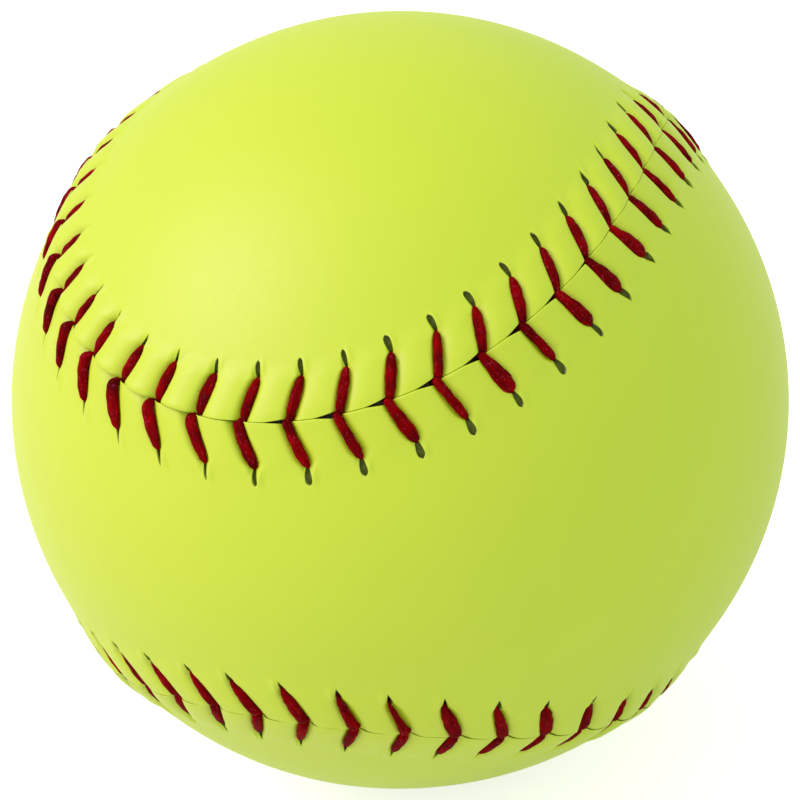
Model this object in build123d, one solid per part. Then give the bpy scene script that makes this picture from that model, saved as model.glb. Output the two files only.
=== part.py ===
"""A stitched softball: a moulded core, its cement, a two-panel cover and the two strands that lace it.

Origin at the ball's centre, millimetres, +Z up. The waist of the front panel faces -Y and its lobes lie
on the X axis. The back panel is the same cut turned a quarter: its waist faces +Y, its lobes lie on Z.
"""

import os
from bisect import bisect_left
from math import cos, pi, radians, sin, tan

from build123d import *

# Ball and its layers
BALL_DIAMETER = 97.0  # over the cover, 12 in round
FACE_THICKNESS = 0.7  # synthetic leather face
CEMENT_THICKNESS = 0.2  # brushed-on adhesive

# Seam
WAIST_WIDTH = 40.8  # a panel at its narrowest, along the surface
LOBE_FULLNESS = 0.474  # share of the third harmonic, which swells the lobes
SEAM_GAP = 0.2  # between the two cut edges

# Lacing
STITCHES = 88  # double stitches round the seam
THREAD_DIAMETER = 1.0
THREAD_CLEARANCE = 0.15  # round the thread in its slits, notches and channels
BACKING_SPARE = 0.4  # how much thicker the backing is than the thread that it takes in
SLIT_REACH = 5.4  # seam to the end of a slit where the thread comes up
SLIT_TAIL = 1.2  # slit past the thread, left open
STITCH_START = 3.6  # first stitch from the middle of the upper front seam
STITCH_SWAY = 0.84  # how far the stitches slip along the seam from even spacing
STITCH_LEAN = 2.1  # slits trail the point of their V by this much
STITCH_DRIFT = 1.6  # how far the two rows of slits slip along each other
POINT_SPREAD = 1.7  # between the two strands at the point of a V
POINT_OVERLAP = 0.3  # each strand passes the seam by this much before it goes down
BEND_STRAIGHT = 0.1  # straight thread between the two bends of its way through the cover
END_GAP = 1.0  # between the tucked ends of a strand

# Fineness of the drawing
SEAM_SAMPLES = 3600  # steps of the table that measures distance along the seam
SEAM_SPANS = 44  # curves that make up a cut edge
SPAN_STEPS = 2  # steps in each of those curves
CUT_MARGIN = 1.0  # cutters run past the layer that they cut

FRONT, BACK = -1, 1  # the two panels, by the side of the ball that their waist is on

ball_radius = BALL_DIAMETER / 2
thread_radius = THREAD_DIAMETER / 2
slot_width = THREAD_DIAMETER + 2 * THREAD_CLEARANCE
backing_radius = ball_radius - FACE_THICKNESS
cement_radius = backing_radius - THREAD_DIAMETER - BACKING_SPARE
core_radius = cement_radius - CEMENT_THICKNESS
over_radius = ball_radius + thread_radius + THREAD_CLEARANCE
under_radius = backing_radius - thread_radius - THREAD_CLEARANCE / 2
bend_radius = (over_radius - under_radius - BEND_STRAIGHT) / 2
seam_swing = (1 - LOBE_FULLNESS) / tan(WAIST_WIDTH / BALL_DIAMETER)


def seam_direction(turn):
    """Unit vector from the centre to the seam, which goes once round in a turn of 2 pi."""
    across = sin(turn) + LOBE_FULLNESS * sin(3 * turn)
    upward = cos(turn) - LOBE_FULLNESS * cos(3 * turn)
    return Vector(across, -seam_swing * cos(2 * turn), upward).normalized()


def seam_heading(turn):
    """Unit vector along the seam."""
    nudge = pi / SEAM_SAMPLES
    return (seam_direction(turn + nudge) - seam_direction(turn - nudge)).normalized()


def measure_seam():
    """Distance along the seam, on the ball's surface, at each step of its turn."""
    travelled = [0.0]
    here = seam_direction(0)
    for step in range(1, SEAM_SAMPLES + 1):
        ahead = seam_direction(2 * pi * step / SEAM_SAMPLES)
        travelled.append(travelled[-1] + (ahead - here).length * ball_radius)
        here = ahead
    return travelled


seam_table = measure_seam()
seam_length = seam_table[-1]
pitch = seam_length / STITCHES


def turn_at(distance):
    """Turn of the seam at a distance along it."""
    laps, rest = divmod(distance, seam_length)
    step = max(bisect_left(seam_table, rest), 1)
    before, after = seam_table[step - 1], seam_table[step]
    return 2 * pi * (laps + (step - 1 + (rest - before) / (after - before)) / SEAM_SAMPLES)


def beside_seam(turn, across, radius):
    """Point at a radius, beside the seam by a distance on the surface; the back panel is on the plus side."""
    outward = seam_direction(turn)
    sideways = outward.cross(seam_heading(turn)).normalized()
    swing = across / ball_radius
    return (outward * cos(swing) + sideways * sin(swing)) * radius


def stitch_distance(stitch):
    """Distance along the seam to the point of a V."""
    return stitch * pitch + STITCH_START - STITCH_SWAY * cos(2 * pi * stitch / STITCHES)


def slit_point(stitch, side, radius, tail=0.0):
    """Where the thread of a stitch comes up through a panel, or a point further out along its slit."""
    point = stitch_distance(stitch)
    lean = STITCH_LEAN + side * STITCH_DRIFT * sin(2 * turn_at(point))
    stretch = 1 + tail / SLIT_REACH
    return beside_seam(turn_at(point + lean * stretch), side * SLIT_REACH * stretch, radius)


def seam_point(stitch, side, radius):
    """Where the strand from one panel's slit goes down between the panels."""
    turn = turn_at(stitch_distance(stitch) + side * POINT_SPREAD / 2)
    return beside_seam(turn, -side * POINT_OVERLAP, radius)


def radial_slot(start, end, inner, outer):
    """Flat-sided cutter through a layer of the ball, with room for the thread from one point to another."""
    middle = ((start + end) / 2).normalized()
    run = end - start
    floor = Plane(origin=middle * (inner - CUT_MARGIN), x_dir=run, z_dir=middle)
    outline = floor * Rectangle(run.length + slot_width, slot_width)
    return extrude(outline, amount=outer - inner + 2 * CUT_MARGIN)


def slit_cutters(side, inner, outer):
    """The row of slits that a panel's stitches come up through."""
    return [
        radial_slot(slit_point(stitch, side, outer), slit_point(stitch, side, outer, SLIT_TAIL), inner, outer)
        for stitch in range(STITCHES)
    ]


def notch_cutters(inner, outer):
    """The openings between the cut edges where both strands go down at the point of each V."""
    return [
        radial_slot(seam_point(stitch, FRONT, outer), seam_point(stitch, BACK, outer), inner, outer)
        for stitch in range(STITCHES)
    ]


def channel_cutters(side, inner, outer):
    """Ways under a panel from the seam to its slits, pressed into the backing by the strands."""
    return [
        radial_slot(seam_point(stitch, -side, outer), slit_point(stitch - 1, side, outer), inner, outer)
        for stitch in range(STITCHES)
    ]


def seam_cut(side, inner, outer):
    """Surface through a layer of the ball along a panel's cut edge, square to the ball."""
    faces = []
    for span in range(SEAM_SPANS):
        turns = [2 * pi * (span + step / SPAN_STEPS) / SEAM_SPANS for step in range(SPAN_STEPS + 1)]
        ends = [seam_heading(turns[0]), seam_heading(turns[-1])]
        edges = []
        for radius in (inner - CUT_MARGIN, outer + CUT_MARGIN):
            points = [beside_seam(turn, side * SEAM_GAP / 2, radius) for turn in turns]
            edges.append(Spline(points, tangents=ends))
        faces.append(Face.make_surface_from_curves(*edges))
    return Shell(faces)


def ball(radius):
    """Sphere with its poles in the middle of the panels and its own seam line between two stitches."""
    clear = seam_direction(turn_at(stitch_distance(0) - pitch / 3))
    return Plane(origin=(0, 0, 0), x_dir=(clear.X, 0, clear.Z), z_dir=(0, 1, 0)) * Sphere(radius)


def sphere_layer(inner, outer):
    """Closed hollow ball."""
    return ball(outer) - ball(inner)


def panel_layer(side, inner, outer):
    """One layer of one panel, before it is pierced."""
    waist = Vector(0, side, 0) * (inner + outer) / 2
    pieces = sphere_layer(inner, outer).solid().split(seam_cut(side, inner, outer), Keep.ALL)
    return next(piece for piece in pieces if piece.is_inside(waist))


def panel_face(side):
    inner, outer = backing_radius, ball_radius
    return panel_layer(side, inner, outer) - slit_cutters(side, inner, outer) - notch_cutters(inner, outer)


def panel_backing(side):
    inner, outer = cement_radius, backing_radius
    pierced = panel_layer(side, inner, outer) - slit_cutters(side, inner, outer) - notch_cutters(inner, outer)
    return pierced - channel_cutters(side, inner, outer)


def rounded_route(points, radius):
    """Straight runs through the points, joined by tangent arcs."""
    edges = []
    here = points[0]
    for before, corner, after in zip(points, points[1:], points[2:]):
        coming = (corner - before).normalized()
        going = (after - corner).normalized()
        half_turn = radians(coming.get_angle(going)) / 2
        trim = radius * tan(half_turn)
        middle = corner + (going - coming).normalized() * radius * (1 / cos(half_turn) - 1)
        start, end = corner - coming * trim, corner + going * trim
        edges.append(Edge.make_line(here, start))
        edges.append(Edge.make_three_point_arc(start, middle, end))
        here = end
    edges.append(Edge.make_line(here, points[-1]))
    return Wire(edges)


def thread_strand(first_side):
    """One needle's strand: up a slit, over to the seam, down, and under the other panel to its next slit."""
    tuck_from, tuck_to = seam_point(1, -first_side, under_radius), slit_point(0, first_side, under_radius)
    tuck = (tuck_from + tuck_to) / 2
    half_gap = (tuck_to - tuck_from).normalized() * END_GAP / 2
    route = [tuck + half_gap]
    side = first_side
    for stitch in range(0, -STITCHES, -1):
        route.append(slit_point(stitch, side, under_radius))
        route.append(slit_point(stitch, side, over_radius))
        route.append(seam_point(stitch, side, over_radius))
        route.append(seam_point(stitch, side, under_radius))
        side = -side
    route.append(tuck - half_gap)
    path = rounded_route(route, bend_radius)
    start = Plane(origin=path @ 0, z_dir=path % 0)
    return sweep(start * Circle(thread_radius), path=path)


def main():
    parts = {
        "core": ball(core_radius),
        "cement_coat": sphere_layer(core_radius, cement_radius),
        "front_panel_backing": panel_backing(FRONT),
        "back_panel_backing": panel_backing(BACK),
        "front_panel_face": panel_face(FRONT),
        "back_panel_face": panel_face(BACK),
        "first_thread_strand": thread_strand(FRONT),
        "second_thread_strand": thread_strand(BACK),
    }
    os.makedirs("parts", exist_ok=True)
    for name, shape in parts.items():
        export_step(shape, f"parts/{name}.step")


main()
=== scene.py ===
"""A laced softball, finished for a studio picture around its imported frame.

Metres, +Z up, origin at the ball's centre. The waist of the front panel faces -Y and its lobes lie on the
X axis. The back panel is the same cut turned a quarter: its waist faces +Y and its lobes lie on the Z axis.
Places on the cover are given by the distance along the seam and the distance across from it.
"""

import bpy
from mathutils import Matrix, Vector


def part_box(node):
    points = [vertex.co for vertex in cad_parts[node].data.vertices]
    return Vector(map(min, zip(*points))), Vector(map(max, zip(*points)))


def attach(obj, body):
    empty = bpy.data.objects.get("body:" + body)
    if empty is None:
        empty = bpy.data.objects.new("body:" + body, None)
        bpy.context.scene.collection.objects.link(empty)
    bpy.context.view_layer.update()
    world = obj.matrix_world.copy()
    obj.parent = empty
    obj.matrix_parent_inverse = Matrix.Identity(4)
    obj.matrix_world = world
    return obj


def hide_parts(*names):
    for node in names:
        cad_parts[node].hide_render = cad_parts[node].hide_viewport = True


bl_info = {
    "name": "Laced Softball",
    "version": (1, 0, 0),
    "blender": (4, 5, 0),
    "location": "3D View > Sidebar > Softball",
    "description": "Laced cover, thread and studio for a softball",
    "category": "Add Mesh",
}

from math import cos, pi, radians, sin, sqrt, tan

import bpy
import numpy as np
from mathutils import Matrix, Vector, geometry

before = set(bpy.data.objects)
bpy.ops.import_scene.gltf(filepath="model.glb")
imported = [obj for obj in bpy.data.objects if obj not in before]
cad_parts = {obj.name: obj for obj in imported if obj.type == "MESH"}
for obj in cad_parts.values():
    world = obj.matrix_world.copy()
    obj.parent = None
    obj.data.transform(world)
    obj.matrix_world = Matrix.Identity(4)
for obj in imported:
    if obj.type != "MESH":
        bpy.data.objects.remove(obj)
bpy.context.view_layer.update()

MM = 0.001
FRONT, BACK = -1, 1  # the two panels, by the side of the ball that their waist is on
PANELS = {"front": FRONT, "back": BACK}

# Ball, seam and lacing, as the CAD part has them
cover_low, cover_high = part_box("back_panel_face")
BALL_RADIUS = (cover_high.z - cover_low.z) / 2
FACE_THICKNESS = 0.7 * MM  # synthetic leather face
WAIST_WIDTH = 40.8 * MM  # a panel at its narrowest, along the surface
LOBE_FULLNESS = 0.474  # share of the third harmonic, which swells the lobes
STITCHES = 88  # double stitches round the seam
SLIT_REACH = 5.4 * MM  # seam to the end of a slit where the thread comes up
STITCH_START = 3.6 * MM  # first stitch from the middle of the upper front seam, before its sway
STITCH_SWAY = 0.84 * MM  # how far the stitches slip along the seam from even spacing
STITCH_LEAN = 2.1 * MM  # slits trail the point of their V by this much
STITCH_DRIFT = 1.6 * MM  # how far the two rows of slits slip along each other
UNDER_DEPTH = 1.28 * MM  # ball's surface to the middle of the thread's run under the cover

# Felt as drawn, a little thinner than its solid
FELT_THICKNESS = 1.2 * MM
LAYER_GAP = 0.02 * MM  # between the face and the felt

# How the lacing sits, read from the picture
FOOT_SHIFT = 0.2 * MM  # where a V goes down, along the seam from its even place
FEET_APART = 1.05 * MM  # between the two legs of a V where they go down, on the upper seam towards -X
FEET_CLOSE = 0.3 * MM  # and elsewhere
FAR_LEAN = {FRONT: 1.5 * MM, BACK: 0.9 * MM}  # how much less the legs lean furthest towards -X
LOW_LEAN = 1.0 * MM  # how much less the front legs lean on the part of the lower seam towards +X
LEAN_SPREAD = 0.16 * MM  # how much the lean differs from leg to leg
LEG_REACH = {FRONT: 5.4 * MM, BACK: 4.95 * MM}  # seam to where the thread goes down its slit

# Start and end of each change along the seam, by the cosine of its turn, which is above 0 on the upper half
UPPER_RISE = -0.3, 0.2  # from the lower seam to the upper
LEAN_UPPER_RISE = -0.3, 0.1  # the same, for the lean of the legs
LOWER_RISE = 0, 0.6  # from the upper seam to the lower, by minus the cosine

# By minus the sine of the turn, which is above 0 on the half towards -X
SWELL_RISE = -0.05, 0.12  # the back panel swells over the front one
SPLAY_RISE = -0.11, 0.06  # the feet of a V part
FAR_RISE = 0.38, 0.56  # the cover lies smooth again
FAR_LEAN_RISE = 0.15, 0.33  # the legs lean less
LOW_LEAN_RISE = 0.2, 0.6  # the front legs of the lower seam lean less, by the sine itself

# By the turn from the middle of the upper front seam, in radians
SLACK_RISE = 0, 0.16  # the seam starts to gape
OPEN_RISE = -0.2, 0.1  # the slits start to stand open
SLACK_FALL = 0.42, 0.7  # both close again
DRAWN_RISE = 1.2, 2  # the lacing is drawn in fully again

DRAG_SHARPNESS = 2  # how soon the drag is full after each quarter of the seam

# Shares of its pull that the lacing loses
LOOSE_TURN = 2.93  # turn of the lower front seam where it is drawn in least
LOOSE_SPREAD = 0.3  # how far round that turn, in radians
LOOSE_LOSS = 0.5  # round that turn
SLACK_LOSS = 0.45  # where the seam gapes
CLOSED_SHARE = 0.45  # how much less of that loss there is once the seam closes again
LEFT_LOSS = 0.2  # on the back panel, where it swells over the front one
PILLOW_LOSS = 0.6  # on the front panel, beside the back panel's pillows
FAR_LOSS = 0.35  # on the front panel, furthest towards -X

# Random streams, one for each use, so that a change to one use leaves the others alone
SEED = 12
LEAN_STREAM, SLIT_STREAM, PULL_STREAM, PLUMP_STREAM, SWAY_STREAM, FIBRE_STREAM = 1, 2, 3, 4, 9, 20

SEAM_STEPS = 7200  # steps of the table that measures distance along the seam
TINY = 1e-9  # what is smaller counts as nothing


def linear(hex_colour):
    """Linear RGBA of an sRGB hex colour."""
    parts = [int(hex_colour[i:i + 2], 16) / 255 for i in (1, 3, 5)]
    return [c / 12.92 if c <= 0.04045 else ((c + 0.055) / 1.055) ** 2.4 for c in parts] + [1.0]


def unit(vectors):
    return vectors / np.linalg.norm(vectors, axis=-1, keepdims=True)


def bell(distance, width):
    """1 at the middle, falling off smoothly over a width."""
    return np.exp(-((distance / width) ** 2))


def rise(value, start, end):
    """0 before start, 1 after end, and smooth between."""
    share = np.clip((value - start) / (end - start), 0, 1)
    return share * share * (3 - 2 * share)


# The seam

SEAM_SWING = (1 - LOBE_FULLNESS) / tan(WAIST_WIDTH / (2 * BALL_RADIUS))


def seam_direction(turn):
    """Unit vectors from the centre to the seam."""
    across = np.sin(turn) + LOBE_FULLNESS * np.sin(3 * turn)
    upward = np.cos(turn) - LOBE_FULLNESS * np.cos(3 * turn)
    return unit(np.stack([across, -SEAM_SWING * np.cos(2 * turn), upward], -1))


seam_turns = np.linspace(0, 2 * pi, SEAM_STEPS + 1)
seam_chords = np.linalg.norm(np.diff(seam_direction(seam_turns), axis=0), axis=1)
seam_travel = BALL_RADIUS * np.concatenate([[0], np.cumsum(seam_chords)])
SEAM_LENGTH = seam_travel[-1]
PITCH = SEAM_LENGTH / STITCHES


def turn_at(distance):
    """Turn of the seam at distances along it, between 0 and 2 pi."""
    return np.interp(np.mod(distance, SEAM_LENGTH), seam_travel, seam_turns)


def signed_turn(distance):
    """Turn of the seam from the middle of the upper front seam, between -pi and pi."""
    return np.mod(turn_at(distance) + pi, 2 * pi) - pi


def seam_frame(distance):
    """Outward, sideways and heading at distances along the seam; sideways is towards the back panel."""
    turn = turn_at(distance)
    nudge = pi / SEAM_STEPS
    outward = seam_direction(turn)
    heading = unit(seam_direction(turn + nudge) - seam_direction(turn - nudge))
    return outward, unit(np.cross(outward, heading)), heading


def on_ball(distance, across, height):
    """Points beside the seam, at a height over the plain ball."""
    outward, sideways, _ = seam_frame(distance)
    swing = (across / BALL_RADIUS)[..., None]
    return (outward * np.cos(swing) + sideways * np.sin(swing)) * (BALL_RADIUS + height)[..., None]


def stitch_distance(stitch):
    """Distance along the seam to the point of a V, for whole stitches and between them."""
    return stitch * PITCH + STITCH_START - STITCH_SWAY * np.cos(2 * pi * stitch / STITCHES)


def hand_wander(side, stream, spread):
    """A small seeded value for each stitch of a panel, since a hand pulls no two alike."""
    return np.random.default_rng([SEED, stream, side + 1]).normal(0, spread, STITCHES)


# How the cover and its lacing change along the seam

def upper_left(distance, change):
    """0 to 1 over a change towards -X on the upper seam, and 0 on the lower."""
    turn = turn_at(distance)
    return rise(-np.sin(turn), *change) * rise(np.cos(turn), *UPPER_RISE)


def leftness(distance):
    """1 on the upper seam towards -X, where the back panel swells over the front one, and 0 elsewhere."""
    return upper_left(distance, SWELL_RISE)


def splay(distance):
    """1 on the upper seam towards -X, where the two feet of a V stand side by side, and 0 elsewhere."""
    return upper_left(distance, SPLAY_RISE)


def farness(distance):
    """1 on the upper seam furthest towards -X, where the cover lies smooth again, and 0 elsewhere."""
    return upper_left(distance, FAR_RISE)


def pillow_share(distance):
    """1 where the back panel swells like pillows between the stitches, and 0 elsewhere."""
    return leftness(distance) * (1 - farness(distance))


def lowness(distance):
    """1 on the lower front seam, 0 on the upper."""
    return rise(-np.cos(turn_at(distance)), *LOWER_RISE)


def slackness(distance):
    """How far the seam gapes: 1 on the upper front seam just past its middle, 0 elsewhere."""
    turn = signed_turn(distance)
    return rise(turn, *SLACK_RISE) * (1 - rise(turn, *SLACK_FALL))


def openness(distance):
    """How wide the slits stand open, over a longer run of the upper front seam."""
    turn = signed_turn(distance)
    return rise(turn, *OPEN_RISE) * (1 - rise(turn, *SLACK_FALL))


def drag(distance):
    """-1 to 1, the side of its legs that the cover is dragged to, by the quarter of the seam."""
    return np.clip(DRAG_SHARPNESS * np.sin(2 * turn_at(distance)), -1, 1)


def tension(side, distance):
    """How deep the lacing is drawn in: least on the lower front seam and where the seam gapes."""
    turn = signed_turn(distance)
    slack = rise(turn, *SLACK_RISE) * (1 - CLOSED_SHARE * rise(turn, *SLACK_FALL))
    slack = slack * (1 - rise(turn, *DRAWN_RISE))
    pull = 1 - LOOSE_LOSS * bell(turn_at(distance) - LOOSE_TURN, LOOSE_SPREAD) - SLACK_LOSS * slack
    if side == BACK:
        return pull * (1 - LEFT_LOSS * leftness(distance))
    return pull * (1 - PILLOW_LOSS * pillow_share(distance) - FAR_LOSS * farness(distance))


def leg_foot(side, point):
    """How far along the seam from the point of its V a leg goes down."""
    apart = FEET_CLOSE + (FEET_APART - FEET_CLOSE) * splay(point)
    return FOOT_SHIFT + side * apart / 2


def leg_distance(side, stitch, across):
    """Distance along the seam of a leg's line, which leans from the point of its V to its slit."""
    point = stitch_distance(stitch)
    wander = np.append(hand_wander(side, LEAN_STREAM, LEAN_SPREAD), 0)
    wander[-1] = wander[0]
    slip = np.interp(np.mod(stitch, STITCHES), np.arange(STITCHES + 1), wander)
    turn = turn_at(point)
    lean = STITCH_LEAN + side * STITCH_DRIFT * np.sin(2 * turn) + slip
    far = rise(-np.sin(turn), *FAR_LEAN_RISE) * rise(np.cos(turn), *LEAN_UPPER_RISE)
    lean = lean - FAR_LEAN[side] * far
    if side == FRONT:
        lean = lean - LOW_LEAN * rise(np.sin(turn), *LOW_LEAN_RISE) * lowness(point)
    share = across / SLIT_REACH
    return point + leg_foot(side, point) * (1 - share) + lean * share


# Relief of the cover

SWAY_WAVES = 8
SWAY_FINENESS = 3.5  # spread of the waves' radians to a ball radius
SWAY_HEIGHT = 0.02 * MM  # of each wave

SEAM_GRIP = 0.3  # how much harder the lacing draws at the seam than further out
SEAM_GRIP_REACH = 2.2 * MM
GRIP_FALL = 4.4 * MM, 7.0 * MM  # where it lets go, along the slits

LEG_SHARES = np.array([0.0, 0.19, 0.46, 0.72, 0.9, 1.02])  # places along a leg, from the seam to its slit
# Widths there, as shares of the usual width
LEG_SWELL = {FRONT: [0.86, 0.94, 1.06, 1.16, 0.98, 0.5], BACK: [0.8, 0.9, 1.0, 0.96, 0.76, 0.45]}
TAPERED_SWELL = [1.12, 1.2, 1.15, 0.98, 0.68, 0.3]  # for the legs that come to a point at their slit
TAPERED_SHARE = {FRONT: 1.0, BACK: 0.85}  # how full those are on each panel

STEEP_SLACK = 0.25  # share of a groove's slack on its steep side
STEEP_WALL, GENTLE_WALL = 4.5, 2.4  # powers that shape the two walls of a groove
CUSHION_SHARE = {FRONT: 0.6, BACK: 1.0}  # how far each panel swells between stitches
LEAST_STEP = 0.3  # share of the step between the cut edges where the seam is tight
PILLOW_STEP = 2.0  # how far the pillows turn that step round
STEP_WIDTH = 0.9 * MM
ROLL_SHARE = {FRONT: 1.0, BACK: 0.35}  # how far each panel's cut edge turns down
TIGHT_ROLL = 0.4  # share of that where the seam is tight
PILLOW_ROLL = 3.2  # and how much more of it the pillows have
PILLOW_FLATNESS = 0.45  # share by which their roll is lower than it is wide
LIP_BESIDE, LIP_WIDTH = 0.6 * MM, 0.4 * MM  # lip of a slit: its place beside the slit, and its width
LIP_PAST, LIP_LENGTH = 0.9 * MM, 1.1 * MM  # its place past the thread, and its length

WEDGE_BACK = 0.4 * MM  # how far the seam's wedge runs on behind the thread
WEDGE_CURVE = 1.3  # power that hollows its sides
TIGHT_WEDGE = 0.03  # share of the wedge where the seam is tight

SLIT_UNDER = 0.5 * MM  # how far a slit starts under its leg
SHORT_SLIT = 0.8  # length of a tight slit, as a share of an open one
TIGHT_SLIT = 1.25  # width of a tight slit, as a share of an open one
PILLOW_SLIT, LOW_SLIT = 0.4, 0.3  # how much narrower slits are at the pillows and on the lower seam
SLIT_SPREAD = 0.14  # how much the width differs from slit to slit
KEYHOLE_SCALE, SLIT_WEDGE_SCALE = 1.54, 1.2  # bring the widest place of each form to about 1
SLIT_CURVE = 0.8  # power that rounds the narrow end of both forms
KEYHOLE_ROUND = 4  # power that rounds the far end of a keyhole
SLIT_MOUTH = 0.22  # share of its length at which a wedge is widest


def ball_sway(directions):
    """Slow unevenness of a hand-laced cover, in metres."""
    draws = np.random.default_rng([SEED, SWAY_STREAM])
    total = np.zeros(directions.shape[:-1])
    for _ in range(SWAY_WAVES):
        wave = draws.normal(0, SWAY_FINENESS, 3)
        total = total + np.sin(directions @ wave + draws.uniform(0, 2 * pi))
    return total * SWAY_HEIGHT


def welt(cover, across):
    """Height of the raised seam at a distance across from it."""
    return cover.welt_height * bell(across, cover.welt_width)


def grip(side, across, distance):
    """How hard the lacing draws the cover in, from the seam out along the slits."""
    at_seam = SEAM_GRIP * (1 - lowness(distance)) * (1 - rise(across, 0, SEAM_GRIP_REACH))
    return tension(side, distance) * (1 + at_seam - rise(across, *GRIP_FALL))


def leg_swell(side, across, distance):
    """Width of a leg along its length, as a share of its usual width; some legs taper to a point."""
    share = across / LEG_REACH[side]
    swell = np.interp(share, LEG_SHARES, LEG_SWELL[side])
    tapered = np.maximum(splay(distance) * (side == FRONT), lowness(distance))
    pointed = np.interp(share, LEG_SHARES, TAPERED_SWELL) * TAPERED_SHARE[side]
    return swell + (pointed - swell) * tapered


def leg_bed(cover, side, across, distance):
    """Height of the bottom of the groove that a leg lies in."""
    return welt(cover, across) - cover.groove_depth * grip(side, across, distance)


def cover_relief(cover, lacing, side, beside, across, edge, distance):
    """Height of the cover by distance beside a leg, across from the seam and in from the cut edge."""
    slack = slackness(distance)
    swollen = pillow_share(distance)
    pillow = swollen * (side == BACK)
    gentle = (1 + np.sign(beside) * drag(distance)) / 2
    groove_slack = cover.groove_slack * (STEEP_SLACK + (1 - STEEP_SLACK) * gentle)
    groove_reach = lacing.leg_width / 2 * leg_swell(side, across, distance) + groove_slack
    wall = STEEP_WALL + (GENTLE_WALL - STEEP_WALL) * gentle
    groove = np.exp(-((np.abs(beside) / groove_reach) ** wall))
    swelling = CUSHION_SHARE[side] * (1 + pillow)
    drawn = cover.cushion_height * swelling * np.sin(pi * beside / PITCH) ** 2 - cover.groove_depth * groove
    height = welt(cover, across) + grip(side, across, distance) * drawn
    step = cover.edge_step / 2 * (np.maximum(slack, LEAST_STEP) - PILLOW_STEP * swollen)
    height = height - side * step * bell(edge, STEP_WIDTH)
    roll_share = ROLL_SHARE[side] * (TIGHT_ROLL + (1 - TIGHT_ROLL) * slack) + PILLOW_ROLL * pillow
    roll = cover.edge_roll * roll_share
    turned = 1 - np.clip(edge / roll, 0, 1)
    height = height - roll * (1 - PILLOW_FLATNESS * pillow) * (1 - np.sqrt(1 - turned ** 2))
    lip = bell(beside - LIP_BESIDE, LIP_WIDTH) * bell(across - LEG_REACH[side] - LIP_PAST, LIP_LENGTH)
    return height + cover.slit_lip * lip


def seam_opening(cover, distance):
    """Half the gap between the cut edges, which the thread holds open ahead of each V's point."""
    stitch = np.round((distance - STITCH_START) / PITCH)
    point = stitch_distance(stitch)
    past = distance - point - leg_foot(FRONT, point)
    wedge = np.where(past < 0, np.clip(1 + past / cover.wedge_length, 0, 1), bell(past, WEDGE_BACK))
    share = TIGHT_WEDGE + (1 - TIGHT_WEDGE) * slackness(point)
    return cover.seam_gap / 2 + cover.seam_wedge / 2 * wedge ** WEDGE_CURVE * share


def slit_opening(cover, side, stitch, across):
    """Half the width of a slit: a keyhole where the slits stand open, elsewhere a wedge from the thread."""
    point = stitch_distance(stitch)
    slack = openness(point)
    start = LEG_REACH[side] - SLIT_UNDER
    share = np.clip((across - start) / (cover.slit_length * (SHORT_SLIT + (1 - SHORT_SLIT) * slack)), 0, 1)
    keyhole = KEYHOLE_SCALE * share ** SLIT_CURVE * np.sqrt(1 - share ** KEYHOLE_ROUND)
    wedge = SLIT_WEDGE_SCALE * np.minimum(share / SLIT_MOUTH, 1) * (1 - share) ** SLIT_CURVE
    size = TIGHT_SLIT + (1 - TIGHT_SLIT) * slack
    size = size - PILLOW_SLIT * pillow_share(point) - LOW_SLIT * lowness(point)
    size = size * (1 + hand_wander(side, SLIT_STREAM, SLIT_SPREAD)[np.mod(stitch, STITCHES)])
    return cover.slit_width / 2 * size * (wedge + (keyhole - wedge) * slack)


# Meshes of the cover

HALF_COLUMNS = 12  # columns of the band on each side of a leg
EVEN_COLUMNS = 0.4  # share of their spacing that is even; the rest crowds them to the leg
COLUMN_CROWDING = 3  # power that does so
ROW_COUNTS = [0, 7, 12, 21, 47, 51]  # rows of the band, closest at the cut edge and along the slits
ROW_PLACES = np.array([0.0, 0.35, 1.0, 4.4, 7.7, 9.5]) * MM  # their places in from the cut edge
BAND_WIDTH = ROW_PLACES[-1]
LIP_PUSH = 0.4  # how far the lips of a tight slit are dragged to one side, as a share of its half width
PUSH_REACH = 1.0 * MM  # how far from a slit the cover gives way to it
GAPE_REACH = 0.6 * MM  # how far from the cut edge the cover gives way to the gaping seam
SHEAR_LIMIT = 5.2 * MM  # the cover leans with the legs as far as this from the seam
SLIT_RUN = 2.4 * MM  # and tight slits carry on that lean for this much more
LOW_SQUARING = 0.7  # how far the slits of the lower seam turn square to it instead
PULL_SPREAD = 0.1  # how much the pull differs from leg to leg
PULL_WIDTH = 2.0 * MM  # how far beside a leg that tells
FILL_SPACING = 1.15 * MM  # between the points in the middle of a panel
FILL_PACKING = 1.15  # points to each square of that spacing
FILL_MARGIN = 1.2 * FILL_SPACING  # between those points and the band
MARK_SPACING = 0.5 * MM  # between the marks on the seam that distances are taken from


def band_columns():
    """Column places in one stitch, in pitches from its leg, and the lip of the slit that each is on."""
    steps = np.arange(1, HALF_COLUMNS + 1) / HALF_COLUMNS
    places = (EVEN_COLUMNS * steps + (1 - EVEN_COLUMNS) * steps ** COLUMN_CROWDING) / 2
    columns = np.concatenate([-places[::-1], [0, 0], places[:-1]])
    lips = np.concatenate([-np.ones(HALF_COLUMNS + 1), np.ones(HALF_COLUMNS)])
    return columns, lips


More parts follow.
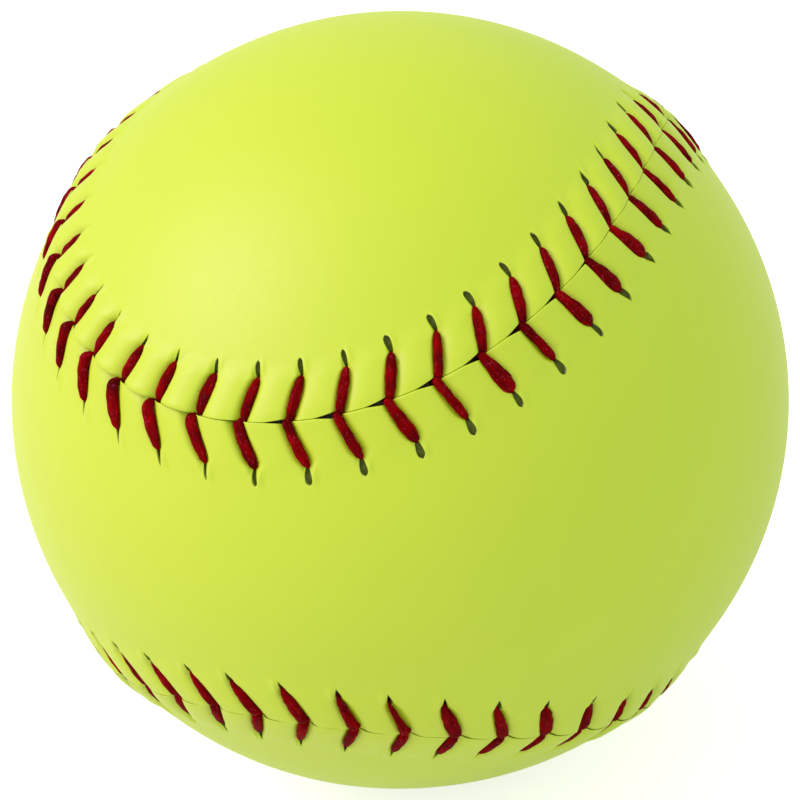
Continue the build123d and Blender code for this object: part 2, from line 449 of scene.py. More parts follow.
def seam_band(cover, lacing, side, depth):
    """Points and vertex numbers of the band beside the seam; slits are open in the face, not below it."""
    columns, lips = band_columns()
    edge = np.interp(np.arange(ROW_COUNTS[-1] + 1), ROW_COUNTS, ROW_PLACES)[:, None]
    leg = np.repeat(np.arange(STITCHES), len(columns))[None, :]
    lip = np.tile(lips, STITCHES)[None, :]
    beside = np.tile(columns, STITCHES)[None, :] * PITCH
    opening = slit_opening(cover, side, leg, edge) * (depth == 0)
    point = stitch_distance(leg)
    pushed = drag(point) * LIP_PUSH * (1 - openness(point))
    beside = beside + (lip + pushed) * opening * np.exp(-np.abs(beside) / PUSH_REACH)
    stitch = leg + beside / PITCH
    at_seam = leg_distance(side, stitch, np.zeros_like(edge))
    across = edge + seam_opening(cover, at_seam) * np.exp(-edge / GAPE_REACH)
    follow = (1 - openness(at_seam)) * (1 - LOW_SQUARING * lowness(at_seam))
    run = np.minimum(across, SHEAR_LIMIT) + np.clip(across - SHEAR_LIMIT, 0, SLIT_RUN) * follow
    distance = leg_distance(side, stitch, run)
    tightness = 1 + hand_wander(side, PULL_STREAM, PULL_SPREAD)[leg]
    height = cover_relief(cover, lacing, side, beside, across, edge, distance)
    height = height * tightness ** bell(beside, PULL_WIDTH)
    points = on_ball(distance, side * across, height - depth)
    numbers = np.arange(points[..., 0].size).reshape(points.shape[:2])
    left = np.arange(STITCHES) * len(columns) + HALF_COLUMNS
    closed = opening[:, left] <= TINY
    numbers[:, left + 1] = np.where(closed, numbers[:, left], numbers[:, left + 1])
    return points, numbers, left


def fill_points(side):
    """Even points over the middle of a panel, from a golden spiral, clear of the band beside the seam."""
    count = int(4 * pi * (BALL_RADIUS / FILL_SPACING) ** 2 * FILL_PACKING)
    order = np.arange(count) + 0.5
    upward = 1 - 2 * order / count
    turn = order * pi * (1 + sqrt(5))
    level = np.sqrt(1 - upward ** 2)
    spots = np.stack([level * np.cos(turn), level * np.sin(turn), upward], -1)
    outward, sideways, _ = seam_frame(np.arange(0, SEAM_LENGTH, MARK_SPACING))
    nearest = np.argmax(spots @ outward.T, axis=1)
    on_side = np.sum(spots * sideways[nearest], axis=1) * side > 0
    away = BALL_RADIUS * np.arccos(np.clip(np.sum(spots * outward[nearest], axis=1), -1, 1))
    return spots[on_side & (away > BAND_WIDTH + FILL_MARGIN)]


def flat_view(directions, side):
    """Stereographic view of one panel's half of the ball, from its waist."""
    return directions[:, [0, 2]] / (1 + side * directions[:, 1:2])


def fill_triangles(vertices, ring, spots, side):
    """Triangles over the points inside a ring of vertices, facing outwards."""
    view = np.concatenate([flat_view(unit(vertices[ring]), side), flat_view(spots, side)])
    border = [list(range(len(ring)))]
    inside_border = 1
    made = geometry.delaunay_2d_cdt([Vector(place) for place in view], [], border, inside_border, TINY)
    _, _, faces, origins, _, _ = made
    source = np.array([origin[0] for origin in origins])
    places = np.concatenate([ring, len(vertices) + np.arange(len(spots))])
    triangles = places[source[np.array(faces)]]
    corner = np.concatenate([vertices, spots * BALL_RADIUS])[triangles]
    facing = np.cross(corner[:, 1] - corner[:, 0], corner[:, 2] - corner[:, 0])
    inward = np.sum(facing * corner[:, 0], axis=1) < 0
    triangles[inward] = triangles[inward][:, ::-1]
    return triangles


def panel_mesh(cover, lacing, side, depth, name):
    """One layer of a panel, at a depth below the cover: the fine band beside the seam, then an even fill."""
    points, numbers, left = seam_band(cover, lacing, side, depth)
    here = np.arange(numbers.shape[1])
    ahead = np.roll(here, -1)
    quads = np.stack([numbers[:-1, here], numbers[:-1, ahead], numbers[1:, ahead], numbers[1:, here]], -1)
    quads = quads[:, np.setdiff1d(here, left)].reshape(-1, 4)
    if side == FRONT:
        quads = quads[:, ::-1]
    ring = numbers[-1, np.setdiff1d(here, left + 1)]
    vertices = points.reshape(-1, 3)
    spots = fill_points(side)
    triangles = fill_triangles(vertices, ring, spots, side)
    vertices = np.concatenate([vertices, spots * (BALL_RADIUS - depth)])
    vertices = vertices * (1 + ball_sway(unit(vertices)) / BALL_RADIUS)[:, None]
    used, packed = np.unique(np.concatenate([quads.ravel(), triangles.ravel()]), return_inverse=True)
    quads = packed[:quads.size].reshape(-1, 4)
    triangles = packed[quads.size:].reshape(-1, 3)
    mesh = bpy.data.meshes.new(name)
    mesh.from_pydata(vertices[used].tolist(), [], quads.tolist() + triangles.tolist())
    mesh.shade_smooth()
    return mesh


# The thread

LEG_STEPS = 26
UNDER_STEPS = 5
RING_SIDES = 18
PLIES = 3
EVEN_STEPS = 0.5  # share of a leg's steps that are even; the rest crowds them to its ends

SLIT_PAST = 0.1 * MM  # how far a leg runs on past its reach
FRONT_FOOT, BACK_FOOT = -0.15 * MM, 0.1 * MM  # from the seam, on its own panel, to where a leg goes down
FRONT_FOOT_LOW, BACK_FOOT_LOW = 0.4 * MM, -0.25 * MM  # how much further that is on the lower seam
FRONT_FOOT_SPLAYED = 0.5 * MM  # and where the feet of a V stand side by side
FOOT_LIFT, FOOT_SINK = 0.15 * MM, 0.25 * MM  # the foot of one leg lies over the other's
FOOT_LENGTH = 1.6 * MM  # how much of a leg that lifts or sinks
LEG_SPREAD = {FRONT: 0.18, BACK: 0.08}  # how much the width differs from leg to leg
PLUMP_REACH = 3.0 * MM  # seam to where that tells in full
PLAIN_HEIGHT = 0.4  # share of a leg's thickness that doesn't change with its swelling
LEG_REST = 0.95  # height of a leg's middle over its groove, as a share of its half thickness
SLIT_BEND, SEAM_BEND = 0.8 * MM, 0.6 * MM  # length of a leg's bend at each end
UNDER_HALF_WIDTH = 0.45 * MM  # of the thread under the cover

FIBRE_STEPS = 4, LEG_STEPS - 3  # fibres stand between these steps of a leg
FIBRE_FAN = 0.7  # spread of their angles round the thread, from its two sides
FIBRE_UPWARD = 0.8  # share of those on the first side that is turned upwards
FIBRE_ROOT = 0.96  # where they start, as a share of the way out to the thread's surface
FIBRE_OUT, FIBRE_ALONG = (0.25, 0.9), 0.8  # how far they head outwards, and the spread along the thread
FIBRE_CURL = 0.2, 0.7  # how far they bend, as a share of their length
FIBRE_LENGTHS = 0.35, 1.25  # shortest and longest, as a share of the usual length
FIBRE_TAPER = 0.6  # share of their thickness lost at the tip
FIBRE_RINGS = 5
FIBRE_SIDES = 3
OFF_AXIS = 1e-3  # keeps the fibres' axes apart from the upright


def by_panel(front, values):
    """One of two arrays for each leg, by the panel that it lies on."""
    on_front, on_back = values
    return np.where(front, on_front, on_back)


def leg_course(cover, lacing, stitches, sides):
    """Centre points of legs from slit to seam, with their half widths, half heights and crosswise axes."""
    even = np.linspace(0, 1, LEG_STEPS)
    share = ((1 - EVEN_STEPS) * (1 - np.cos(pi * even)) / 2 + EVEN_STEPS * even)[None, :]
    front = (sides == FRONT)[:, None]
    both = (FRONT, BACK)
    stitch = stitches[:, None]
    low, splayed = lowness(stitch_distance(stitch)), splay(stitch_distance(stitch))
    slit_end = by_panel(front, [LEG_REACH[side] for side in both]) + SLIT_PAST
    front_end = FRONT_FOOT + FRONT_FOOT_LOW * low + FRONT_FOOT_SPLAYED * splayed
    seam_end = by_panel(front, [front_end, BACK_FOOT + BACK_FOOT_LOW * low])
    across = slit_end + (seam_end - slit_end) * share
    distance = by_panel(front, [leg_distance(side, stitch, across) for side in both])
    swell = by_panel(front, [leg_swell(side, across, distance) for side in both])
    plump = by_panel(front, [hand_wander(side, PLUMP_STREAM, LEG_SPREAD[side])[stitch] for side in both])
    half_width = lacing.leg_width / 2 * swell * (1 + plump * rise(across, 0, PLUMP_REACH))
    half_height = lacing.leg_thickness / 2 * (PLAIN_HEIGHT + (1 - PLAIN_HEIGHT) * swell)
    bed = by_panel(front, [leg_bed(cover, side, np.maximum(across, 0), distance) for side in both])
    lift = by_panel(front, [FOOT_LIFT - FOOT_SINK * low, -FOOT_SINK * (1 - low)])
    height = bed + half_height * LEG_REST + lift * (1 - rise(across, 0, FOOT_LENGTH))
    run_length = np.abs(slit_end - seam_end)
    for spot, bend in ((share * run_length, SLIT_BEND), ((1 - share) * run_length, SEAM_BEND)):
        inner = 1 - np.clip(spot / bend, 0, 1)
        height = height - (height + UNDER_DEPTH) * (1 - np.sqrt(1 - inner ** 2))
    points = on_ball(distance, sides[:, None] * across, height)
    outward, _, heading = seam_frame(distance)
    run = unit(points[:, -1] - points[:, 0])[:, None, :]
    crosswise = unit(np.cross(outward, run))
    crosswise = crosswise * np.sign(np.sum(crosswise * heading, axis=-1, keepdims=True))
    return points, half_width, half_height, crosswise


def strand_course(cover, lacing, first_side):
    """One needle's whole strand: its legs, joined by runs under the cover."""
    order = np.arange(STITCHES)
    sides = np.where(order % 2 == 0, first_side, -first_side)
    points, half_width, half_height, crosswise = leg_course(cover, lacing, np.mod(-order, STITCHES), sides)
    share = (np.arange(UNDER_STEPS) + 1) / (UNDER_STEPS + 1)
    after = np.roll(order, -1)
    start, end = points[:, -1:], points[after, :1]
    under = unit(start + (end - start) * share[None, :, None]) * (BALL_RADIUS - UNDER_DEPTH)
    blend = crosswise[:, -1:] + (crosswise[after, :1] - crosswise[:, -1:]) * share[None, :, None]
    thick = np.full((STITCHES, UNDER_STEPS), UNDER_HALF_WIDTH)
    points = np.concatenate([points, under], axis=1).reshape(-1, 3)
    half_width = np.concatenate([half_width, thick], axis=1).ravel()
    half_height = np.concatenate([half_height, thick], axis=1).ravel()
    crosswise = np.concatenate([crosswise, unit(blend)], axis=1).reshape(-1, 3)
    tuck = UNDER_STEPS // 2
    return points[:-tuck], half_width[:-tuck], half_height[:-tuck], crosswise[:-tuck]


def strand_mesh(cover, lacing, first_side, name):
    """A twisted strand as one closed tube, with its length and turn kept as UVs."""
    points, half_width, half_height, crosswise = strand_course(cover, lacing, first_side)
    along = unit(np.gradient(points, axis=0))
    crosswise = unit(crosswise - along * np.sum(along * crosswise, axis=1, keepdims=True))
    upright = np.cross(crosswise, along)
    upright = upright * np.sign(np.sum(upright * points, axis=1, keepdims=True) + TINY * MM)
    travel = np.concatenate([[0], np.cumsum(np.linalg.norm(np.diff(points, axis=0), axis=1))])
    angle = np.linspace(0, 2 * pi, RING_SIDES, endpoint=False)
    twist = 2 * pi * travel / lacing.lay
    groove = 1 + lacing.ply_depth * np.cos(PLIES * (angle[None, :] - twist[:, None]))
    wide = half_width[:, None] * np.cos(angle)[None, :] * groove
    high = half_height[:, None] * np.sin(angle)[None, :] * groove
    rings = points[:, None] + crosswise[:, None] * wide[..., None] + upright[:, None] * high[..., None]
    count = len(points)
    numbers = np.arange(count * RING_SIDES).reshape(count, RING_SIDES)
    ahead = np.roll(numbers, -1, axis=1)
    quads = np.stack([numbers[:-1], ahead[:-1], ahead[1:], numbers[1:]], -1).reshape(-1, 4)
    ends = [numbers[0, ::-1].tolist(), numbers[-1].tolist()]
    mesh = bpy.data.meshes.new(name)
    mesh.from_pydata(rings.reshape(-1, 3).tolist(), [], quads.tolist() + ends)
    turn = np.arange(RING_SIDES + 1) / RING_SIDES
    spread = np.stack(np.meshgrid(travel, turn, indexing="ij"), -1)
    corners = np.stack([spread[:-1, :-1], spread[:-1, 1:], spread[1:, 1:], spread[1:, :-1]], 2)
    layer = mesh.uv_layers.new(name="strand")
    layer.data.foreach_set("uv", np.append(corners, np.zeros((len(ends), RING_SIDES, 2))))
    mesh.shade_smooth()
    return mesh


def fibre_tube(root, heading, curl, upright, half_thickness):
    """Vertices and faces of one fibre, which bends from its heading by its curl and thins to its tip."""
    side_axis = unit(np.cross(heading, upright + OFF_AXIS))
    up_axis = np.cross(side_axis, unit(heading))
    vertices, faces = [], []
    for ring in range(FIBRE_RINGS):
        share = ring / (FIBRE_RINGS - 1)
        spot = root + heading * share + curl * share ** 2
        bulk = half_thickness * (1 - FIBRE_TAPER * share)
        for corner in range(FIBRE_SIDES):
            turn = 2 * pi * corner / FIBRE_SIDES
            vertices.append(spot + (side_axis * cos(turn) + up_axis * sin(turn)) * bulk)
    for ring in range(FIBRE_RINGS - 1):
        for corner in range(FIBRE_SIDES):
            here = ring * FIBRE_SIDES + corner
            beside = ring * FIBRE_SIDES + (corner + 1) % FIBRE_SIDES
            faces.append([here, beside, beside + FIBRE_SIDES, here + FIBRE_SIDES])
    tip = len(vertices) - FIBRE_SIDES
    faces.append(list(range(FIBRE_SIDES))[::-1])
    faces.append(list(range(tip, tip + FIBRE_SIDES)))
    return vertices, faces


def fibre_mesh(cover, lacing, name):
    """Loose fibres that stand out from the legs."""
    draws = np.random.default_rng([SEED, FIBRE_STREAM])
    half_thickness = lacing.fibre_thickness / 2
    vertices, faces = [], []
    for side in (FRONT, BACK):
        sides = np.full(STITCHES, side)
        points, half_width, half_height, crosswise = leg_course(cover, lacing, np.arange(STITCHES), sides)
        for leg in range(STITCHES):
            for _ in range(lacing.fibres):
                at = draws.integers(*FIBRE_STEPS)
                angle = draws.choice([0, pi]) + draws.normal(0, FIBRE_FAN)
                angle = abs(angle) if draws.random() < FIBRE_UPWARD else angle
                middle = points[leg, at]
                upright = unit(middle)
                sideways = crosswise[leg, at] * cos(angle)
                upwards = upright * sin(angle)
                run = unit(points[leg, at + 1] - points[leg, at - 1])
                bulge = sideways * half_width[leg, at] + upwards * half_height[leg, at]
                out = (sideways + upwards) * draws.uniform(*FIBRE_OUT)
                heading = unit(out + run * draws.normal(0, FIBRE_ALONG))
                curl = unit(draws.normal(0, 1, 3)) * draws.uniform(*FIBRE_CURL)
                reach = draws.uniform(*FIBRE_LENGTHS) * lacing.fibre_length
                root = middle + bulge * FIBRE_ROOT
                spots, sheets = fibre_tube(root, heading * reach, curl * reach, upright, half_thickness)
                first = len(vertices)
                vertices.extend(spots)
                faces.extend([first + corner for corner in sheet] for sheet in sheets)
    mesh = bpy.data.meshes.new(name)
    mesh.from_pydata(np.array(vertices).tolist(), [], faces)
    mesh.shade_smooth()
    return mesh


# Materials

MIX_SHARE, MIX_FIRST, MIX_SECOND, MIXED = 0, 6, 7, 2  # sockets of a colour mix


def add_node(tree, kind, inputs=None, **settings):
    """A node with its settings, and its inputs set, or linked to a socket or to a node's first output."""
    node = tree.nodes.new(kind)
    for name, value in settings.items():
        setattr(node, name, value)
    for name, value in (inputs or {}).items():
        if isinstance(value, bpy.types.Node):
            value = value.outputs[0]
        if isinstance(value, bpy.types.NodeSocket):
            tree.links.new(value, node.inputs[name])
        else:
            node.inputs[name].default_value = value
    return node


def new_material(name):
    """An empty material, its node tree, and places on the object in metres for its patterns."""
    material = bpy.data.materials.new(name)
    material.use_nodes = True
    tree = material.node_tree
    tree.nodes.clear()
    return material, tree, add_node(tree, "ShaderNodeTexCoord").outputs["Object"]


def finish_material(material, shader):
    add_node(material.node_tree, "ShaderNodeOutputMaterial", {"Surface": shader})
    return material


PORE_SIZE = 0.35 * MM
CLOUD_SIZE = 14 * MM
GRAIN_DEPTH = 0.06 * MM


def synthetic_leather(cover):
    """Polyurethane-faced synthetic leather, embossed and satin: fine pebble grain, even in colour."""
    material, tree, place = new_material("embossed_synthetic_leather")
    grain = add_node(
        tree, "ShaderNodeTexVoronoi", {"Vector": place, "Scale": 1 / cover.grain_size, "Randomness": 1.0},
        feature="SMOOTH_F1",
    )
    pores = add_node(tree, "ShaderNodeTexNoise", {"Vector": place, "Scale": 1 / PORE_SIZE, "Detail": 3.0})
    height = add_node(tree, "ShaderNodeMath", {0: grain, 1: pores}, operation="MULTIPLY")
    cloud = add_node(tree, "ShaderNodeTexNoise", {"Vector": place, "Scale": 1 / CLOUD_SIZE, "Detail": 2.0})
    tint = add_node(
        tree, "ShaderNodeMix",
        {MIX_SHARE: cloud, MIX_FIRST: cover.colour, MIX_SECOND: cover.second_colour},
        data_type="RGBA",
    )
    satin = add_node(
        tree, "ShaderNodeMapRange",
        {"Value": pores, "From Min": 0.3, "From Max": 0.7, "To Min": 0.5, "To Max": 0.58},
    )
    bump = add_node(tree, "ShaderNodeBump", {"Height": height, "Strength": 0.2, "Distance": GRAIN_DEPTH})
    shader = add_node(tree, "ShaderNodeBsdfPrincipled", {
        "Base Color": tint.outputs[MIXED],
        "Roughness": satin,
        "Normal": bump,
        "IOR": 1.5,
        "Specular IOR Level": 0.9,
    })
    return finish_material(material, shader)


TUFT_SIZE = 0.4 * MM  # the felt's own fibres are too fine to show, so they are drawn as tufts
TUFT_DEPTH = 0.15 * MM


def felt_backing(name, hex_dark, hex_light):
    """Needle-punched felt, or leather's cut edge: matted fibres, quite dull, with lighter specks."""
    material, tree, place = new_material(name)
    fluff = add_node(
        tree, "ShaderNodeTexNoise",
        {"Vector": place, "Scale": 1 / TUFT_SIZE, "Detail": 6.0, "Distortion": 1.0},
    )
    tint = add_node(
        tree, "ShaderNodeMix",
        {MIX_SHARE: fluff, MIX_FIRST: linear(hex_dark), MIX_SECOND: linear(hex_light)},
        data_type="RGBA",
    )
    bump = add_node(tree, "ShaderNodeBump", {"Height": fluff, "Strength": 0.6, "Distance": TUFT_DEPTH})
    shader = add_node(tree, "ShaderNodeBsdfPrincipled", {
        "Base Color": tint.outputs[MIXED],
        "Normal": bump,
        "Roughness": 0.95,
        "Sheen Weight": 0.3,
    })
    return finish_material(material, shader)


# The thread's own filaments are too fine to show, so they are drawn as bundles
BUNDLE_LENGTH = 2.2 * MM
BUNDLES = 16.0  # round the thread
BUNDLE_DEPTH = 0.05 * MM
SHADE_PATCH_SIZE = 2.5 * MM  # width of the random patches where more painted shade shows
GLINT_SIZE = 0.3 * MM  # width of a painted glint


def waxed_thread(lacing):
    """Waxed twisted polyester thread: quite dull, with painted shade between the fibres and in random
    patches, and pale specks painted as glints.
    """
    material, tree, place = new_material("waxed_polyester_thread")
    turned = add_node(tree, "ShaderNodeUVMap", uv_map="strand")
    scale = (1 / BUNDLE_LENGTH, BUNDLES, 1.0)
    strip = add_node(tree, "ShaderNodeMapping", {"Vector": turned, "Scale": scale})
    fibres = add_node(
        tree, "ShaderNodeTexNoise",
        {"Vector": strip, "Scale": 1.0, "Detail": 4.0, "Distortion": 0.4},
    )
    cloud = add_node(tree, "ShaderNodeTexNoise", {"Vector": place, "Scale": 1 / SHADE_PATCH_SIZE, "Detail": 2.0})
    # Mixes a lit red with a red in painted shade: painted shade between the fibre bundles and in random
    # patches
    blend = add_node(tree, "ShaderNodeMath", {0: fibres, 1: cloud}, operation="MULTIPLY")
    share = add_node(tree, "ShaderNodeMapRange", {"Value": blend, "From Min": 0.12, "From Max": 0.4})
    tint = add_node(
        tree, "ShaderNodeMix",
        {MIX_SHARE: share, MIX_FIRST: lacing.painted_shade_colour, MIX_SECOND: lacing.colour},
        data_type="RGBA",
    )
    # Pale pink specks painted as glints, where loose fibres would catch the light
    specks = add_node(tree, "ShaderNodeTexNoise", {"Vector": place, "Scale": 1 / GLINT_SIZE, "Detail": 3.0})
    painted_glint_share = add_node(
        tree, "ShaderNodeMapRange",
        {"Value": specks, "From Min": 0.6, "From Max": 0.74, "To Max": 0.45},
    )
    with_painted_glints = add_node(
        tree, "ShaderNodeMix",
        {MIX_SHARE: painted_glint_share, MIX_FIRST: tint.outputs[MIXED], MIX_SECOND: linear("#D0506A")},
        data_type="RGBA",
    )
    bump = add_node(tree, "ShaderNodeBump", {"Height": fibres, "Strength": 0.5, "Distance": BUNDLE_DEPTH})
    shader = add_node(tree, "ShaderNodeBsdfPrincipled", {
        "Base Color": with_painted_glints.outputs[MIXED],
        "Normal": bump,
        "Roughness": 0.65,
        "Specular IOR Level": 0.03,
    })
    return finish_material(material, shader)


def foam_skin(name, hex_dark, hex_light, cell, rough):
    """Moulded foam or dried cement: a dull skin with small blotches the size of its cells or brush marks."""
    material, tree, place = new_material(name)
    cells = add_node(tree, "ShaderNodeTexVoronoi", {"Vector": place, "Scale": 1 / cell})
    tint = add_node(
        tree, "ShaderNodeMix",
        {MIX_SHARE: cells, MIX_FIRST: linear(hex_dark), MIX_SECOND: linear(hex_light)},
        data_type="RGBA",
    )
    bump = add_node(tree, "ShaderNodeBump", {"Height": cells, "Strength": 0.3, "Distance": cell / 4})
    shader = add_node(tree, "ShaderNodeBsdfPrincipled", {
        "Base Color": tint.outputs[MIXED],
        "Normal": bump,
        "Roughness": rough,
    })
    return finish_material(material, shader)


def seen_rays(tree):
    """1 for rays from the camera, a reflection or a clear piece, 0 for rays that only carry light."""
    path = add_node(tree, "ShaderNodeLightPath")
    seen = path.outputs["Is Camera Ray"]
    for kind in ("Is Glossy Ray", "Is Transmission Ray"):
        seen = add_node(tree, "ShaderNodeMath", {0: seen, 1: path.outputs[kind]}, operation="MAXIMUM")
    return seen


TOOTH_SIZE = 2 * MM


def studio_white(brightness):
    """Matt white paper sweep, lifted towards white where the camera or a reflection sees it."""
    material, tree, place = new_material("matt_white_paper")
    lift = add_node(tree, "ShaderNodeMath", {0: seen_rays(tree), 1: brightness}, operation="MULTIPLY")
    glow = add_node(tree, "ShaderNodeEmission", {"Strength": lift})
    tooth = add_node(tree, "ShaderNodeTexNoise", {"Vector": place, "Scale": 1 / TOOTH_SIZE, "Detail": 4.0})
    tint = add_node(
        tree, "ShaderNodeMix",
        {MIX_SHARE: tooth, MIX_FIRST: linear("#D6D6D6"), MIX_SECOND: linear("#DEDEDE")},
        data_type="RGBA",
    )
    paper = add_node(tree, "ShaderNodeBsdfDiffuse", {"Color": tint.outputs[MIXED]})
    both = add_node(tree, "ShaderNodeAddShader", {0: paper, 1: glow})
    return finish_material(material, both)


# What a user can change

def length(name, description, default):
    return bpy.props.FloatProperty(
        name=name, description=description, default=default, min=0, unit="LENGTH", precision=5
    )


def colour(name, description, default):
    return bpy.props.FloatVectorProperty(
        name=name, description=description, default=linear(default), size=4, min=0, max=1, subtype="COLOR"
    )


def tilt(name, description, degrees):
    return bpy.props.FloatProperty(
        name=name, description=description, default=radians(degrees), subtype="ANGLE"
    )


def portion(name, description, default, greatest):
    return bpy.props.FloatProperty(
        name=name, description=description, default=default, min=0, max=greatest, subtype="FACTOR"
    )


class SoftballCover(bpy.types.PropertyGroup):
    """Sizes and colours of the cover."""

    welt_height: length("Welt Height", "Rise of the cover at the seam", 0.55 * MM)
    welt_width: length("Welt Width", "How far the rise spreads from the seam", 4.6 * MM)
    groove_depth: length("Groove Depth", "How deep the thread draws into the cover", 1.0 * MM)
    groove_slack: length("Groove Slack", "How far a groove spreads beside its thread", 0.5 * MM)
    cushion_height: length("Cushion Height", "Swelling of the back panel between stitches", 0.35 * MM)
    edge_roll: length("Edge Roll", "Radius that the front panel's cut edge turns down with", 0.26 * MM)
    edge_step: length("Edge Step", "How far the front panel's edge stands over the back panel's", 0.2 * MM)
    seam_gap: length("Seam Gap", "Gap between the cut edges", 0.01 * MM)
    seam_wedge: length("Seam Wedge", "Widest opening of the seam at the point of a stitch", 0.95 * MM)
    wedge_length: length("Wedge Length", "How far the seam stands open ahead of a stitch", 2.8 * MM)
    slit_width: length("Slit Width", "Widest opening of a slit", 0.74 * MM)
    slit_length: length("Slit Length", "Length of a slit", 2.7 * MM)
    slit_lip: length("Slit Lip", "Rise of the lip beside a slit", 0.22 * MM)
    grain_size: length("Grain Size", "Width of a pebble of the embossed grain", 0.45 * MM)
    colour: colour("Colour", "Optic yellow of the cover", "#CEED18")
    second_colour: colour("Second Colour", "Slightly greener yellow that clouds the first", "#C9EA16")


class SoftballLacing(bpy.types.PropertyGroup):
    """Sizes and colours of the thread."""

    leg_width: length("Leg Width", "Width of a leg of a stitch", 1.24 * MM)
    leg_thickness: length("Leg Thickness", "Thickness of a leg of a stitch", 1.0 * MM)
    lay: length("Lay", "Length of one twist of the plies", 6.0 * MM)
    ply_depth: portion("Ply Depth", "Depth between plies, as a share of the thread", 0.05, 0.3)
    fibres: bpy.props.IntProperty(name="Fibres", description="Loose fibres on each leg", default=26, min=0)
    fibre_length: length("Fibre Length", "Usual length of a loose fibre", 0.45 * MM)
    fibre_thickness: length("Fibre Thickness", "Thickness of a loose fibre", 0.025 * MM)
    # The thread's red in two copies: Colour is its lit red, and Shade Colour is its red in painted shade, in
    # its twists and between the fibres
    colour: colour("Colour", "Red of the thread where it catches the light", "#960004")
    painted_shade_colour: colour("Shade Colour", "Red of the thread in its twists", "#4C0002")


class SoftballStage(bpy.types.PropertyGroup):
    """Camera and light."""

    camera_azimuth: tilt("Azimuth", "Camera's turn round the ball", 28.84)
    camera_elevation: tilt("Elevation", "Camera's height over the horizon", 27.29)
    camera_roll: tilt("Roll", "Camera's tilt about its view", -5.21)
    camera_distance: length("Distance", "Camera to the ball's centre", 567 * MM)
    ball_share: portion("Ball Share", "Plain ball's width, as a share of the picture", 0.9725, 1)
    key_power: bpy.props.FloatProperty(
        name="Key Power", description="Power of the soft lamp", default=3.55, min=0, unit="POWER"
    )
    key_colour: colour("Key Colour", "Colour of the soft lamp", "#F8CEFF")
    sky_strength: portion("Sky Strength", "Light from all round, as a share of white", 0.73, 1)
    floor_lift: portion("Floor Lift", "How far the floor is lifted towards white for the eye", 0.7, 1)


# Pieces

INWARD = -1  # a sheet takes its thickness from its outer face inwards
CUT_EDGE = 1  # the rim of a sheet takes the material after its own


def add_piece(mesh, material, *nodes, slot):
    """An object that rides on the ball, in the place of CAD nodes where some are named."""
    piece = bpy.data.objects.new(mesh.name, mesh)
    bpy.context.scene.collection.objects.link(piece)
    mesh.materials.append(material)
    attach(piece, "root")
    if nodes:
        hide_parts(*nodes)
    return piece


def add_thickness(piece, thickness):
    sheet = piece.modifiers.new("sheet", "SOLIDIFY")
    sheet.thickness = thickness
    sheet.offset = INWARD
    return sheet


class SOFTBALL_OT_cover_panels(bpy.types.Operator):
    """Build the face and the felt of both panels, with their raised seam, grooves and slits"""

    bl_idname = "softball.cover_panels"
    bl_label = "Cover Panels"

    def execute(self, context):
        cover, lacing = context.scene.softball_cover, context.scene.softball_lacing
        leather = synthetic_leather(cover)
        cut_edge = felt_backing("cut_leather_edge", "#8FA324", "#B9CC44")
        felt = felt_backing("needle_punched_felt", "#3E4E06", "#94A242")
        for name, side in PANELS.items():
            mesh = panel_mesh(cover, lacing, side, 0, f"{name}_panel")
            piece = add_piece(mesh, leather, f"{name}_panel_face", slot="cover")
            piece.data.materials.append(cut_edge)
            add_thickness(piece, FACE_THICKNESS).material_offset_rim = CUT_EDGE
            mesh = panel_mesh(cover, lacing, side, FACE_THICKNESS + LAYER_GAP, f"{name}_felt")
            piece = add_piece(mesh, felt, f"{name}_panel_backing", slot="backing")
            add_thickness(piece, FELT_THICKNESS)
        return {"FINISHED"}


class SOFTBALL_OT_lacing(bpy.types.Operator):
    """Lace the seam with two unbroken strands and their loose fibres"""

    bl_idname = "softball.lacing"
    bl_label = "Lacing"

    def execute(self, context):
        cover, lacing = context.scene.softball_cover, context.scene.softball_lacing
        thread = waxed_thread(lacing)
        for name, side in (("first", FRONT), ("second", BACK)):
            mesh = strand_mesh(cover, lacing, side, f"{name}_strand")
            add_piece(mesh, thread, f"{name}_thread_strand", slot="thread")
        add_piece(fibre_mesh(cover, lacing, "thread_fibres"), thread, slot="thread")
        return {"FINISHED"}


class SOFTBALL_OT_inner_layers(bpy.types.Operator):
    """Give the core and the cement their finishes"""

    bl_idname = "softball.inner_layers"
    bl_label = "Inner Layers"

    def execute(self, context):
        cement = foam_skin("dried_rubber_cement", "#8C7A45", "#C9B680", 1.6 * MM, 0.5)
        foam = foam_skin("moulded_polyurethane_foam", "#D8D0B4", "#EFE9D6", 0.5 * MM, 0.8)
        for name, material in (("core", foam), ("cement_coat", cement)):
            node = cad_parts[name]
            node.data.materials.clear()
            node.data.materials.append(material)
        return {"FINISHED"}


# Studio, in metres

FLOOR_REACH = 1.6  # middle of the floor to its sides
FLOOR_GAP = 0.02 * MM  # keeps the floor just below the ball
KEY_SIZE = 0.5
KEY_DISTANCE = 0.8
KEY_RIGHT, KEY_UP, KEY_BACK = -0.74, 0.46, 0.5  # way from the ball to the soft lamp, as the camera sees it


def camera_axes(stage):
    """The camera's right, up and back."""
    azimuth, elevation, roll = stage.camera_azimuth, stage.camera_elevation, stage.camera_roll
    back = Vector((sin(azimuth) * cos(elevation), -cos(azimuth) * cos(elevation), sin(elevation)))
    level = Vector((cos(azimuth), sin(azimuth), 0))
    upright = back.cross(level)
    right = level * cos(roll) + upright * sin(roll)
    up = upright * cos(roll) - level * sin(roll)
    return right, up, back


def add_camera(scene, stage):
    """A camera that sees the plain ball as wide as its share of the picture."""
    axes = camera_axes(stage)
    data = bpy.data.cameras.new("camera")
    camera = bpy.data.objects.new("camera", data)
    scene.collection.objects.link(camera)
    place = Matrix.Translation(axes[2] * stage.camera_distance)
    camera.matrix_world = place @ Matrix(axes).transposed().to_4x4()
    reach = sqrt((stage.camera_distance / BALL_RADIUS) ** 2 - 1)
    data.lens = data.sensor_width * stage.ball_share / 2 * reach
    scene.camera = camera


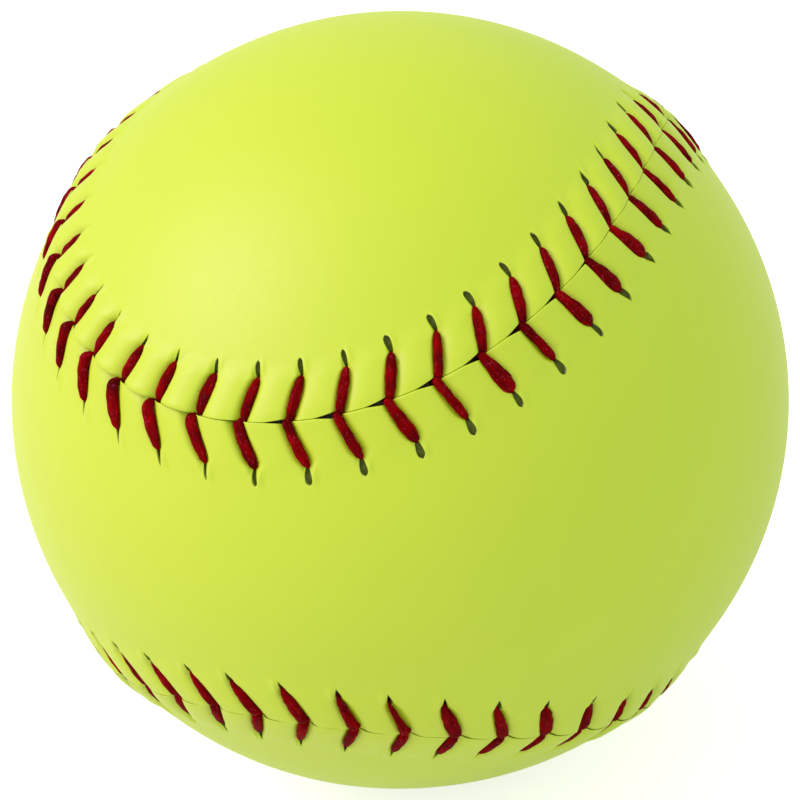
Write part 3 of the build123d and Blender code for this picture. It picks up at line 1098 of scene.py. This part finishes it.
def add_floor(scene, stage):
    level = -BALL_RADIUS - FLOOR_GAP
    ends = ((-1, -1), (1, -1), (1, 1), (-1, 1))
    mesh = bpy.data.meshes.new("floor")
    mesh.from_pydata([(x * FLOOR_REACH, y * FLOOR_REACH, level) for x, y in ends], [], [(0, 1, 2, 3)])
    mesh.materials.append(studio_white(stage.floor_lift))
    floor = bpy.data.objects.new("floor", mesh)
    scene.collection.objects.link(floor)


def add_key(scene, stage):
    """A large soft lamp over the camera's left shoulder."""
    lamp = bpy.data.lights.new("key", "AREA")
    lamp.energy = stage.key_power
    lamp.color = stage.key_colour[:3]
    lamp.shape = "DISK"
    lamp.size = KEY_SIZE
    key = bpy.data.objects.new("key", lamp)
    scene.collection.objects.link(key)
    right, up, back = camera_axes(stage)
    toward = (right * KEY_RIGHT + up * KEY_UP + back * KEY_BACK).normalized()
    key.location = toward * KEY_DISTANCE
    key.rotation_mode = "QUATERNION"
    key.rotation_quaternion = toward.to_track_quat("Z", "Y")


def add_sky(scene, stage):
    """Even light from all round, which is white where the camera or a reflection sees it."""
    world = bpy.data.worlds.new("studio")
    scene.world = world
    world.use_nodes = True
    tree = world.node_tree
    tree.nodes.clear()
    strength = add_node(tree, "ShaderNodeMapRange", {"Value": seen_rays(tree), "To Min": stage.sky_strength})
    sky = add_node(tree, "ShaderNodeBackground", {"Color": linear("#FFFFFF"), "Strength": strength})
    add_node(tree, "ShaderNodeOutputWorld", {"Surface": sky})


class SOFTBALL_OT_stage(bpy.types.Operator):
    """Set the floor, the light and the camera"""

    bl_idname = "softball.stage"
    bl_label = "Stage"

    def execute(self, context):
        scene, stage = context.scene, context.scene.softball_stage
        for add in (add_camera, add_floor, add_key, add_sky):
            add(scene, stage)
        scene.view_settings.view_transform = "Standard"
        return {"FINISHED"}


class SOFTBALL_PT_sidebar(bpy.types.Panel):
    """Builds the softball step by step"""

    bl_idname = "SOFTBALL_PT_sidebar"
    bl_label = "Laced Softball"
    bl_space_type = "VIEW_3D"
    bl_region_type = "UI"
    bl_category = "Softball"

    def draw(self, context):
        for step in STEPS:
            self.layout.operator(step.bl_idname)
        for group_name, kind in GROUPS.items():
            box = self.layout.box()
            for name in kind.__annotations__:
                box.prop(getattr(context.scene, group_name), name)


GROUPS = {
    "softball_cover": SoftballCover,
    "softball_lacing": SoftballLacing,
    "softball_stage": SoftballStage,
}
STEPS = (SOFTBALL_OT_cover_panels, SOFTBALL_OT_lacing, SOFTBALL_OT_inner_layers, SOFTBALL_OT_stage)


def register():
    for kind in (*GROUPS.values(), *STEPS, SOFTBALL_PT_sidebar):
        bpy.utils.register_class(kind)
    for name, kind in GROUPS.items():
        setattr(bpy.types.Scene, name, bpy.props.PointerProperty(type=kind))


def unregister():
    for name in GROUPS:
        delattr(bpy.types.Scene, name)
    for kind in (SOFTBALL_PT_sidebar, *reversed(STEPS), *reversed(GROUPS.values())):
        bpy.utils.unregister_class(kind)


def main():
    register()
    bpy.ops.softball.cover_panels()
    bpy.ops.softball.lacing()
    bpy.ops.softball.inner_layers()
    bpy.ops.softball.stage()


if __name__ == "__main__":
    main()
